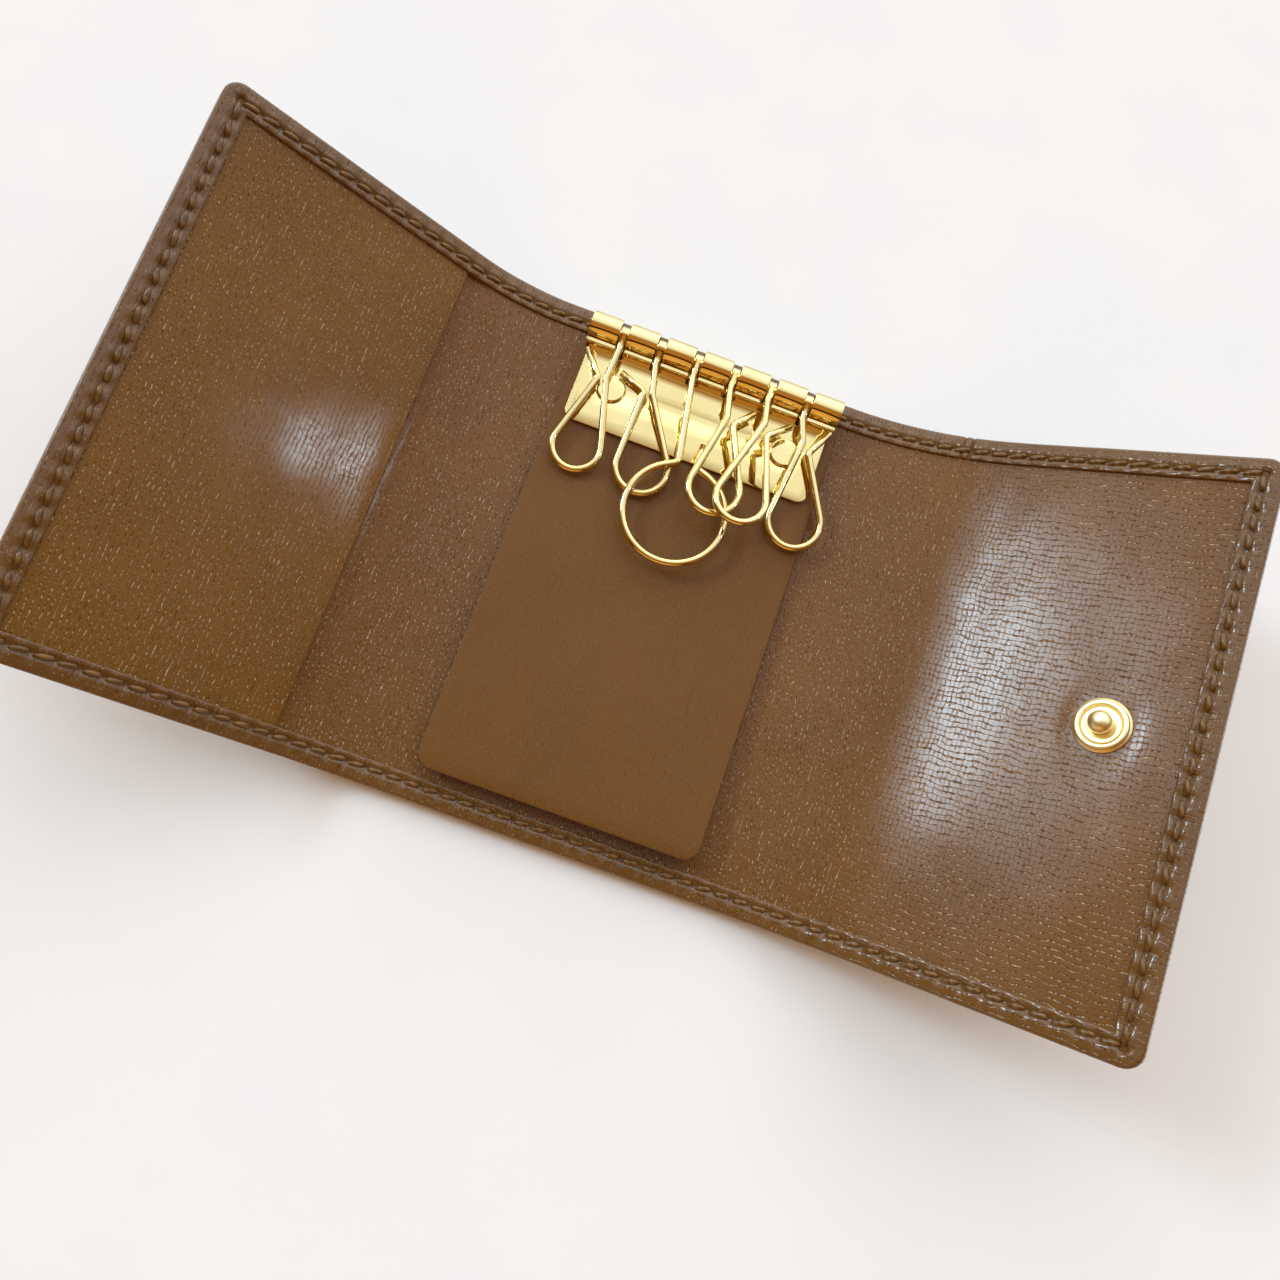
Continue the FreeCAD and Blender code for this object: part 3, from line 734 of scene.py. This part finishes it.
def tongueStrip():
    half, top, low = tongue["half"], tongue["top"], tongue["low"]
    corners = ((-half, low), (half, low), (half, top), (-half, top))
    # the two corners of the free end are round
    bm = plate(corners, 2, tongue["corner"], case["liningTop"], tongue["thick"])[0]
    roundOff(bm, levelRims(bm), tongue["rim"], tongue["rimSteps"])
    cutRows(bm, yAxis, low + tongue["cutY"], top, tongue["stepY"])
    cutRows(bm, xAxis, -half + tongue["cutX"], half, tongue["stepX"])
    bm.normal_update()
    flat = bm.loops.layers.uv.new("flat")
    for face in bm.faces:
        face.material_index = 0 if face.normal.z > tongue["faceUp"] else 1
        for loop in face.loops:
            loop[flat].uv = (loop.vert.co.x * mm, loop.vert.co.y * mm)
    pivot = Vector((0, tongue["bend"], case["liningTop"] + tongue["thick"]))
    for vert in bm.verts:
        x, y = vert.co.xy
        share = smoothStep((tongue["from"] - y) / (tongue["from"] - tongue["to"]))
        turn = Matrix.Rotation(-math.radians(tongue["angle"]) * share, 3, "X")
        vert.co = turn @ (vert.co - pivot) + pivot
        twist = (0.5 + x / (2 * half)) * ((tongue["bend"] - y) / tongue["twistRun"]) ** 2
        vert.co.z += (soften(x, y, *tongue["wave"]) + tongue["twist"] * twist) * share
        vert.co *= mm
    return newPiece("tongue_leather", bm, [tongueLeather, edgeMaterial])


piece = tongueStrip()
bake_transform(piece)
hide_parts("tongue_root", "tongue_flap")
print("tongue done")


# metal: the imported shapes; the plate's sharp edges are eased, as plating never keeps a sharp edge
metal = {"join": 1e-7, "flatAngle": 1, "sharpAngle": 40, "plateEase": 0.12 * mm, "easeSteps": 2}


def metalCopy(node, name, material, ease=0, smooth=35, body="centre"):
    bm = bmesh.new()
    bm.from_mesh(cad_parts[node].data)
    bmesh.ops.remove_doubles(bm, verts=bm.verts, dist=metal["join"])
    if ease:
        bmesh.ops.dissolve_limit(bm, angle_limit=math.radians(metal["flatAngle"]), verts=bm.verts,
                                 edges=bm.edges)
        sharp = [edge for edge in bm.edges if edge.calc_face_angle(0) > math.radians(metal["sharpAngle"])]
        roundOff(bm, sharp, ease, metal["easeSteps"], clamp=True)
    piece = newPiece(name, bm, [material], smooth=smooth)
    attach(piece, body)
    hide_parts(node)


metalCopy("hook_plate", "rail_plate", plateGold, ease=metal["plateEase"])
metalCopy("plate_rivets", "rail_rivets", plateGold)
for number in range(1, 7):
    metalCopy("key_hook_%d" % number, "wire_hook_%d" % number, wireGold, smooth=50,
              body="hook_%d" % number)
metalCopy("snap_socket", "socket_shell", snapGold, body="left_wing")


# snap stud: turned shapes, so the pressed rings stay soft and round; each profile is radius and height
stud = {
    "level": 2.2, "steps": 72,
    "base": [(4.66, 0.0), (4.7, 0.2), (4.62, 0.38), (4.4, 0.5), (4.28, 0.58), (4.24, 0.85), (4.12, 1.05),
             (3.9, 1.14), (3.6, 1.13), (3.34, 1.05), (3.2, 0.88), (3.12, 0.74), (2.98, 0.68), (2.8, 0.7),
             (2.6, 0.72), (2.42, 0.66), (1.62, 0.64), (1.62, 0.1)],
    "post": [(1.55, -1.1), (1.55, 1.55), (1.62, 1.7), (1.82, 1.78), (1.94, 2.0), (1.95, 2.25), (1.88, 2.62),
             (1.7, 3.05), (1.4, 3.45), (1.0, 3.76), (0.55, 3.94), (0.0, 4.0)],
}


def turned(name, node, profile):
    bm = bmesh.new()
    chain = [bm.verts.new((radius, 0, height)) for radius, height in profile]
    line = [bm.edges.new(pair) for pair in zip(chain, chain[1:])]
    bmesh.ops.spin(bm, geom=chain + line, cent=(0, 0, 0), axis=(0, 0, 1), angle=2 * math.pi,
                   steps=stud["steps"], use_merge=True)
    bmesh.ops.remove_doubles(bm, verts=bm.verts, dist=near["join"])
    closeEnds(bm)
    bmesh.ops.translate(bm, verts=bm.verts, vec=(case["studX"], 0, stud["level"]))
    foldUp(bm)
    piece = newPiece(name, bm, [snapGold], smooth=60)
    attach(piece, "right_wing")
    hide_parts(node)


turned("stud_base", "snap_stud", stud["base"])
turned("stud_dome", "stud_post", stud["post"])

# the rest stays as packed: pin, washers and spring inside the metal, board inside the leather
packed = {
    "hinge_pin": plateGold, "socket_spring": steelMaterial, "rivet_washers": steelMaterial,
    "socket_rivet": snapGold, "centre_board": boardMaterial, "right_board": boardMaterial,
}
for node, material in packed.items():
    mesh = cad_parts[node].data
    mesh.materials.clear()
    mesh.materials.append(material)
print("metal done")


# studio: a pale floor under a dome that runs from white behind to warm brown in front, with one dark band
# there, so that the metal shows bands; soft-edged windows at both sides give the leather its sheen
studio = {
    "floor": 3.0, "floorGap": 0.2 * mm, "dome": 2.1, "pane": "#DCF2FF", "backdrop": "#F6F7F9",
    "squeeze": 1000.0,
    "sky": [(0.0, "#B08A4C"), (1.0, "#FFFFFF"), (0.1, "#A8783A"), (0.125, "#100C08"), (0.18, "#100C08"),
            (0.21, "#8A5822"), (0.45, "#7E5E30"), (0.6, "#C6CBD2"), (0.7, "#C6CBD2"), (0.8, "#FFFFFF")],
    "sides": [(0.19, "#C8C6C0"), (0.81, "#C8C6C0"), (0.3, "#FFFFFF"), (0.7, "#FFFFFF")],
    "windows": [{"way": (-0.792, 0.235, 0.563), "size": (0.24, 0.07), "strength": 52.0},
                {"way": (-0.735, 0.235, 0.637), "size": (0.28, 0.11), "strength": 9.0},
                {"way": (0.728, 0.235, 0.655), "size": (0.028, 0.026), "strength": 78.0}],
}
bm = bmesh.new()
bmesh.ops.create_grid(bm, x_segments=1, y_segments=1, size=studio["floor"] / 2)
bmesh.ops.translate(bm, verts=bm.verts, vec=(0, 0, -studio["floorGap"]))
floor = newPiece("floor", bm, [floorMaterial])

world = bpy.data.worlds.new("soft dome")
bpy.context.scene.world = world
world.use_nodes = True
tree = world.node_tree
tree.nodes.clear()
way = addNode(tree, "ShaderNodeTexCoord").outputs["Generated"]
parts = addNode(tree, "ShaderNodeSeparateXYZ", links={0: way}).outputs
behind = addNode(tree, "ShaderNodeMapRange", inputs={"From Min": -1.0},
                 links={"Value": parts["Y"]}).outputs[0]
sky = addNode(tree, "ShaderNodeValToRGB", links={"Fac": behind}, stops=studio["sky"]).outputs[0]
aside = addNode(tree, "ShaderNodeMapRange", inputs={"From Min": -1.0},
                links={"Value": parts["X"]}).outputs[0]
sides = addNode(tree, "ShaderNodeValToRGB", links={"Fac": aside}, stops=studio["sides"]).outputs[0]
dome = addNode(tree, "ShaderNodeMix", {"data_type": "RGBA", "blend_type": "MULTIPLY"}, inputs={0: 1.0},
               links={6: sky, 7: sides}).outputs[2]
light = addNode(tree, "ShaderNodeBackground", inputs={"Strength": studio["dome"]},
                links={"Color": dome}).outputs[0]
# a window glows by how far aside of its middle a way points; the squeeze takes out the distance along it
for window in studio["windows"]:
    turn = Vector(window["way"]).to_track_quat("Z", "Y").to_euler()
    offset = addNode(tree, "ShaderNodeMapping", {"vector_type": "TEXTURE"},
                     inputs={"Rotation": turn, "Scale": (*window["size"], studio["squeeze"])},
                     links={"Vector": way}).outputs[0]
    reach = addNode(tree, "ShaderNodeVectorMath", {"operation": "LENGTH"}, links={0: offset}).outputs["Value"]
    glow = addNode(tree, "ShaderNodeMapRange", {"interpolation_type": "SMOOTHSTEP"},
                   inputs={"To Min": window["strength"], "To Max": 0.0}, links={"Value": reach}).outputs[0]
    pane = addNode(tree, "ShaderNodeBackground", inputs={"Color": hexColour(studio["pane"])},
                   links={"Strength": glow}).outputs[0]
    light = addNode(tree, "ShaderNodeAddShader", links={0: light, 1: pane}).outputs[0]
# the camera itself sees plain pale paper behind the floor
seen = addNode(tree, "ShaderNodeLightPath").outputs["Is Camera Ray"]
backdrop = addNode(tree, "ShaderNodeBackground", inputs={"Color": hexColour(studio["backdrop"])}).outputs[0]
light = addNode(tree, "ShaderNodeMixShader", links={0: seen, 1: light, 2: backdrop}).outputs[0]
addNode(tree, "ShaderNodeOutputWorld", links={0: light})

# camera: just below the middle, looking almost straight down, turned about twenty degrees
view = {
    "place": (-0.39, -41.86, 186.75), "right": (0.939, 0.33378, 0.08285), "up": (-0.34314, 0.92542, 0.1608),
    "focalPixels": 1006.35, "framePixels": 1280, "sensor": 36, "clip": 5 * mm,
}
cameraData = bpy.data.cameras.new("camera")
cameraData.sensor_width = view["sensor"]
cameraData.lens = view["focalPixels"] / view["framePixels"] * view["sensor"]
cameraData.clip_start = view["clip"]
camera = bpy.data.objects.new("camera", cameraData)
right = Vector(view["right"]).normalized()
away = right.cross(Vector(view["up"]).normalized()).normalized()
up = away.cross(right)
turn = Matrix((right, up, away)).transposed().to_4x4()
camera.matrix_world = Matrix.Translation(Vector(view["place"]) * mm) @ turn
bpy.context.scene.collection.objects.link(camera)
bpy.context.scene.camera = camera
bpy.context.scene.view_settings.view_transform = "Standard"
print("studio done")
